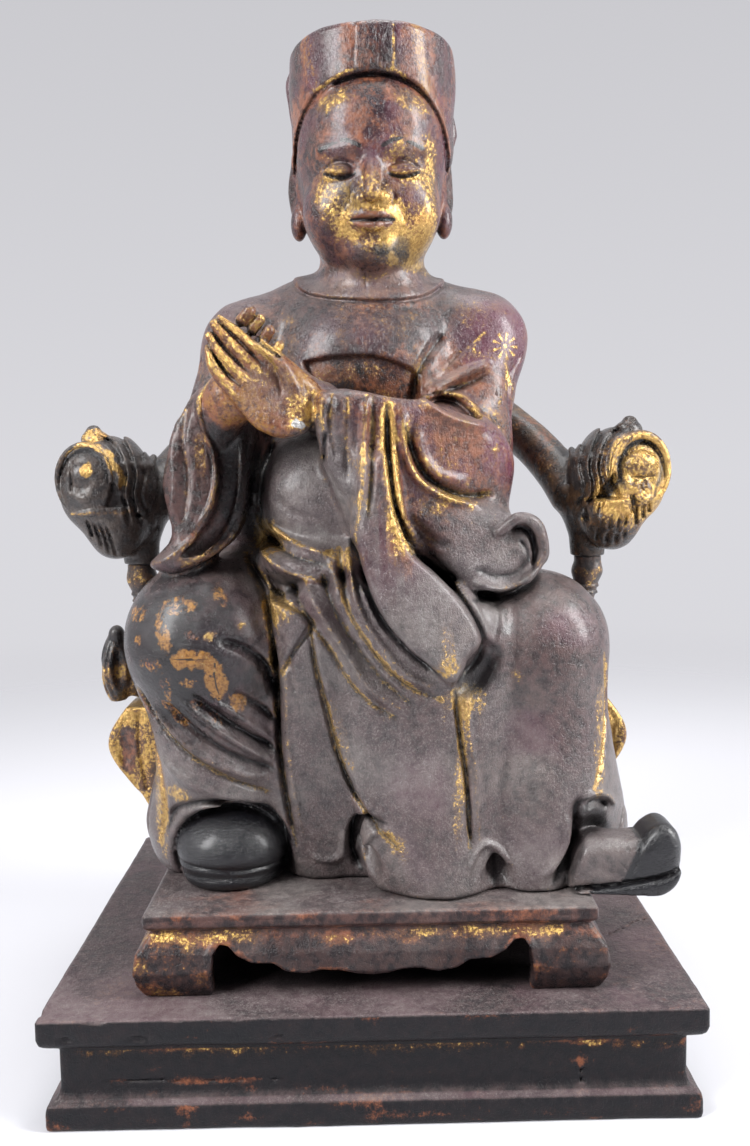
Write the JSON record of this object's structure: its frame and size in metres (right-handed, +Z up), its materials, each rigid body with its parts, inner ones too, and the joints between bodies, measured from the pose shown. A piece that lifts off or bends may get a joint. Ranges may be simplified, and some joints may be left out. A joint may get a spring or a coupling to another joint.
{
  "type": "ancestor figure",
  "caption": "Carved wooden ancestor figure in robe and tall cap, seated in a horseshoe armchair with dragon heads, feet on a footstool, on a moulded plinth.",
  "frame": {"origin": "middle of the plinth's underside", "axes": "+X to the right of someone facing the figure, +Y to the figure's back, +Z up"},
  "size_m": [0.3116, 0.236, 0.5191],
  "materials": {
    "plinth_lacquer": "worn dark lacquer, dusty",
    "chair_lacquer": "near-black lacquer with traces of gold leaf",
    "worn_gilding": "gold leaf worn to dark lacquer",
    "robe_lacquer": "aubergine lacquer, worn gilding at edges, dusty"
  },
  "bodies": {
    "root": {"plinth": "plinth_lacquer", "footstool": "plinth_lacquer", "chair_seat": "chair_lacquer", "chair_rail": "worn_gilding", "chair_post_left": "chair_lacquer", "chair_post_right": "chair_lacquer", "chair_splat": "chair_lacquer", "figure": "robe_lacquer"}
  },
  "joints": []
}
